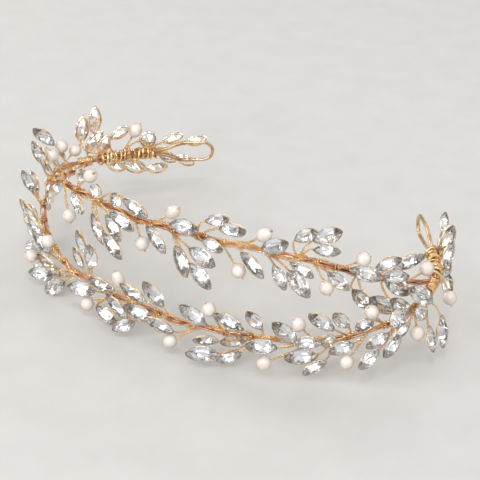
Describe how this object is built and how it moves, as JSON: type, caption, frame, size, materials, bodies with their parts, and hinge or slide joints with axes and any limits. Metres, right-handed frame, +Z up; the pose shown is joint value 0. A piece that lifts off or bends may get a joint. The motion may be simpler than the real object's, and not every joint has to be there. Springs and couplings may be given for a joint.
{
  "type": "bridal tiara",
  "caption": "Bridal tiara: two bent rows of copper wire with crystal and pearl sprigs, joined at each side and ending in hairpin loops.",
  "frame": {"origin": "under the middle of the tiara, level with its lowest sprigs", "axes": "+X along the span towards the right end, +Y towards the end loops at the back, +Z up; the front faces -Y"},
  "size_m": [0.1525, 0.0912, 0.0499],
  "materials": {
    "copper_wire": "polished copper-coloured wire",
    "gold_wire": "bright gold-coloured wound wire",
    "crystal": "clear cut crystal with a bright foiled back, on fine gold wire",
    "pearl": "ivory pearl with a faint pink sheen"
  },
  "bodies": {
    "lower_row": {"left_junction_binding": "gold_wire", "lower_strand_bottom": "copper_wire", "lower_strand_top": "copper_wire", "lower_vine_1": "crystal", "lower_vine_10": "crystal", "lower_vine_2": "crystal", "lower_vine_3": "crystal", "lower_vine_4": "crystal", "lower_vine_5": "crystal", "lower_vine_6": "crystal", "lower_vine_7": "crystal", "lower_vine_8": "crystal", "lower_vine_9": "crystal", "right_junction_binding": "gold_wire"},
    "upper_row": {"upper_strand_bottom": "copper_wire", "upper_strand_top": "copper_wire", "upper_vine_1": "crystal", "upper_vine_2": "crystal", "upper_vine_3": "crystal", "upper_vine_4": "crystal", "upper_vine_5": "crystal", "upper_vine_6": "crystal", "upper_vine_7": "crystal", "upper_vine_8": "crystal", "upper_vine_9": "crystal"},
    "left_arm": {"left_arm_binding": "gold_wire", "left_arm_hairpin": "copper_wire", "left_arm_vine_1": "crystal", "left_arm_vine_2": "crystal"},
    "right_arm": {"right_arm_binding": "gold_wire", "right_arm_hairpin": "copper_wire", "right_arm_vine_1": "crystal"},
    "left_arm_pearl_01": {"left_arm_pearl_01": "pearl"},
    "lower_pearl_01": {"lower_pearl_01": "pearl"},
    "lower_pearl_02": {"lower_pearl_02": "pearl"},
    "lower_pearl_03": {"lower_pearl_03": "pearl"},
    "lower_pearl_04": {"lower_pearl_04": "pearl"},
    "lower_pearl_05": {"lower_pearl_05": "pearl"},
    "lower_pearl_06": {"lower_pearl_06": "pearl"},
    "lower_pearl_07": {"lower_pearl_07": "pearl"},
    "lower_pearl_08": {"lower_pearl_08": "pearl"},
    "lower_pearl_09": {"lower_pearl_09": "pearl"},
    "lower_pearl_10": {"lower_pearl_10": "pearl"},
    "lower_pearl_11": {"lower_pearl_11": "pearl"},
    "lower_pearl_12": {"lower_pearl_12": "pearl"},
    "lower_pearl_13": {"lower_pearl_13": "pearl"},
    "lower_pearl_14": {"lower_pearl_14": "pearl"},
    "lower_pearl_15": {"lower_pearl_15": "pearl"},
    "right_arm_pearl_01": {"right_arm_pearl_01": "pearl"},
    "right_arm_pearl_02": {"right_arm_pearl_02": "pearl"},
    "upper_pearl_01": {"upper_pearl_01": "pearl"},
    "upper_pearl_02": {"upper_pearl_02": "pearl"},
    "upper_pearl_03": {"upper_pearl_03": "pearl"},
    "upper_pearl_04": {"upper_pearl_04": "pearl"},
    "upper_pearl_05": {"upper_pearl_05": "pearl"},
    "upper_pearl_06": {"upper_pearl_06": "pearl"},
    "upper_pearl_07": {"upper_pearl_07": "pearl"},
    "upper_pearl_08": {"upper_pearl_08": "pearl"},
    "upper_pearl_09": {"upper_pearl_09": "pearl"},
    "upper_pearl_10": {"upper_pearl_10": "pearl"}
  },
  "joints": [
    {"name": "row_spread", "type": "hinge", "parent": "lower_row", "child": "upper_row", "pos_m": [-0.0618, 0.0148, 0.0206], "axis": [-0.9958, 0.0919, 0], "range_deg": [-2, 25]},
    {"name": "left_arm_flex", "type": "hinge", "parent": "lower_row", "child": "left_arm", "pos_m": [-0.0618, 0.0148, 0.0206], "axis": [0, 0, 1], "range_deg": [-8, 15]},
    {"name": "right_arm_flex", "type": "hinge", "parent": "lower_row", "child": "right_arm", "pos_m": [0.0682, 0.0028, 0.0206], "axis": [0, 0, -1], "range_deg": [-8, 15]},
    {"name": "left_arm_pearl_01_spin", "type": "hinge", "parent": "left_arm", "child": "left_arm_pearl_01", "pos_m": [-0.05425, 0.02928, 0.02756], "axis": [0.3145, 0.4839, 0.8166], "continuous": true},
    {"name": "lower_pearl_01_spin", "type": "hinge", "parent": "lower_row", "child": "lower_pearl_01", "pos_m": [-0.07071, 0.00931, 0.02614], "axis": [-0.2647, 0.294, 0.9184], "continuous": true},
    {"name": "lower_pearl_02_spin", "type": "hinge", "parent": "lower_row", "child": "lower_pearl_02", "pos_m": [-0.06811, 0.01293, 0.02366], "axis": [0.2108, 0.8357, 0.5071], "continuous": true},
    {"name": "lower_pearl_03_spin", "type": "hinge", "parent": "lower_row", "child": "lower_pearl_03", "pos_m": [-0.07292, 0.00304, 0.02531], "axis": [-0.353, 0.6285, 0.6931], "continuous": true},
    {"name": "lower_pearl_04_spin", "type": "hinge", "parent": "lower_row", "child": "lower_pearl_04", "pos_m": [-0.06868, -0.01065, 0.02232], "axis": [-0.5743, 0.3346, 0.7471], "continuous": true},
    {"name": "lower_pearl_05_spin", "type": "hinge", "parent": "lower_row", "child": "lower_pearl_05", "pos_m": [-0.04716, -0.03092, 0.01687], "axis": [-0.4536, -0.0776, 0.8878], "continuous": true},
    {"name": "lower_pearl_06_spin", "type": "hinge", "parent": "lower_row", "child": "lower_pearl_06", "pos_m": [-0.05321, -0.03212, 0.01027], "axis": [-0.9836, 0.1334, 0.1212], "continuous": true},
    {"name": "lower_pearl_07_spin", "type": "hinge", "parent": "lower_row", "child": "lower_pearl_07", "pos_m": [-0.02731, -0.03874, 0.00477], "axis": [-0.8581, -0.2388, -0.4545], "continuous": true},
    {"name": "lower_pearl_08_spin", "type": "hinge", "parent": "lower_row", "child": "lower_pearl_08", "pos_m": [-0.01522, -0.03882, 0.01753], "axis": [-0.3253, -0.1043, 0.9398], "continuous": true},
    {"name": "lower_pearl_09_spin", "type": "hinge", "parent": "lower_row", "child": "lower_pearl_09", "pos_m": [0.00474, -0.04214, 0.00409], "axis": [-0.7366, -0.439, -0.5146], "continuous": true},
    {"name": "lower_pearl_10_spin", "type": "hinge", "parent": "lower_row", "child": "lower_pearl_10", "pos_m": [0.0164, -0.03895, 0.01753], "axis": [-0.3797, -0.2049, 0.9022], "continuous": true},
    {"name": "lower_pearl_11_spin", "type": "hinge", "parent": "lower_row", "child": "lower_pearl_11", "pos_m": [0.0347, -0.03929, 0.00549], "axis": [-0.7188, -0.6277, -0.2991], "continuous": true},
    {"name": "lower_pearl_12_spin", "type": "hinge", "parent": "lower_row", "child": "lower_pearl_12", "pos_m": [0.04205, -0.03246, 0.01729], "axis": [-0.4999, -0.3318, 0.8], "continuous": true},
    {"name": "lower_pearl_13_spin", "type": "hinge", "parent": "lower_row", "child": "lower_pearl_13", "pos_m": [0.05596, -0.02913, 0.00726], "axis": [-0.3098, -0.6295, -0.7126], "continuous": true},
    {"name": "lower_pearl_14_spin", "type": "hinge", "parent": "lower_row", "child": "lower_pearl_14", "pos_m": [0.0603, -0.02358, 0.02249], "axis": [-0.3504, -0.4809, 0.8037], "continuous": true},
    {"name": "lower_pearl_15_spin", "type": "hinge", "parent": "lower_row", "child": "lower_pearl_15", "pos_m": [0.07025, -0.01307, 0.01249], "axis": [0.3149, -0.2046, -0.9268], "continuous": true},
    {"name": "right_arm_pearl_01_spin", "type": "hinge", "parent": "right_arm", "child": "right_arm_pearl_01", "pos_m": [0.07164, 0.00695, 0.0136], "axis": [0.4302, -0.2845, -0.8567], "continuous": true},
    {"name": "right_arm_pearl_02_spin", "type": "hinge", "parent": "right_arm", "child": "right_arm_pearl_02", "pos_m": [0.06336, 0.02417, 0.02513], "axis": [-0.2478, 0.8885, 0.3863], "continuous": true},
    {"name": "upper_pearl_01_spin", "type": "hinge", "parent": "upper_row", "child": "upper_pearl_01", "pos_m": [-0.06123, -0.00818, 0.03303], "axis": [-0.0935, -0.2718, 0.9578], "continuous": true},
    {"name": "upper_pearl_02_spin", "type": "hinge", "parent": "upper_row", "child": "upper_pearl_02", "pos_m": [-0.03841, -0.03046, 0.02835], "axis": [0.4688, -0.3787, -0.798], "continuous": true},
    {"name": "upper_pearl_03_spin", "type": "hinge", "parent": "upper_row", "child": "upper_pearl_03", "pos_m": [-0.02633, -0.03445, 0.0472], "axis": [0.6886, -0.3117, 0.6547], "continuous": true},
    {"name": "upper_pearl_04_spin", "type": "hinge", "parent": "upper_row", "child": "upper_pearl_04", "pos_m": [-0.00797, -0.03594, 0.0306], "axis": [0.4843, -0.2191, -0.847], "continuous": true},
    {"name": "upper_pearl_05_spin", "type": "hinge", "parent": "upper_row", "child": "upper_pearl_05", "pos_m": [0.00327, -0.03633, 0.0446], "axis": [0.7232, -0.1163, 0.6808], "continuous": true},
    {"name": "upper_pearl_06_spin", "type": "hinge", "parent": "upper_row", "child": "upper_pearl_06", "pos_m": [0.02339, -0.03404, 0.03006], "axis": [0.64, -0.0937, -0.7627], "continuous": true},
    {"name": "upper_pearl_07_spin", "type": "hinge", "parent": "upper_row", "child": "upper_pearl_07", "pos_m": [0.03077, -0.03253, 0.04337], "axis": [0.7618, 0.0059, 0.6478], "continuous": true},
    {"name": "upper_pearl_08_spin", "type": "hinge", "parent": "upper_row", "child": "upper_pearl_08", "pos_m": [0.04763, -0.0269, 0.02833], "axis": [0.4418, 0.008, -0.8971], "continuous": true},
    {"name": "upper_pearl_09_spin", "type": "hinge", "parent": "upper_row", "child": "upper_pearl_09", "pos_m": [0.05598, -0.02141, 0.03742], "axis": [0.7653, 0.378, 0.521], "continuous": true},
    {"name": "upper_pearl_10_spin", "type": "hinge", "parent": "upper_row", "child": "upper_pearl_10", "pos_m": [0.06828, -0.00467, 0.02908], "axis": [0.4829, 0.7551, 0.4434], "continuous": true}
  ]
}
